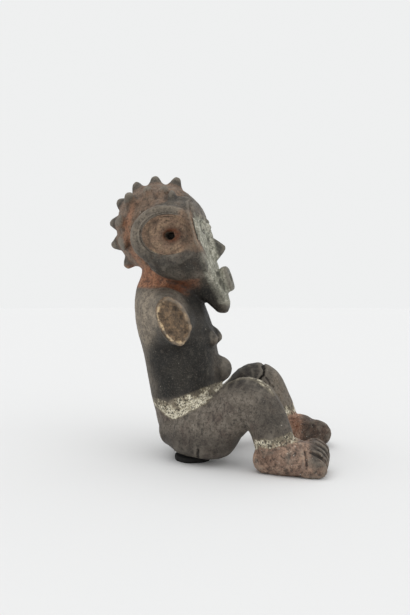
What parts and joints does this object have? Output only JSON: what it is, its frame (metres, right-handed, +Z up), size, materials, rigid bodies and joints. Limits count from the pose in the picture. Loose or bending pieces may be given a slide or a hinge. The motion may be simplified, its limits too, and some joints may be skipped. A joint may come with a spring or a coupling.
{
  "type": "terracotta seated figure",
  "caption": "Seated dark terracotta figure with drawn-up knees, broken-off arms, dished ears, a jutting masklike face and hair of clay studs, on a thin pad.",
  "frame": {"origin": "middle of the bounding box, on the surface that the figure sits on", "axes": "+Z up, the face and toes toward -Y, the figure's right side toward -X"},
  "size_m": [0.198, 0.2904, 0.3599],
  "materials": {
    "fired_clay": "matte, burnished in places, worn slip",
    "pad": "matte"
  },
  "bodies": {
    "root": {"figure": "fired_clay", "seat_pad": "pad"}
  },
  "joints": []
}
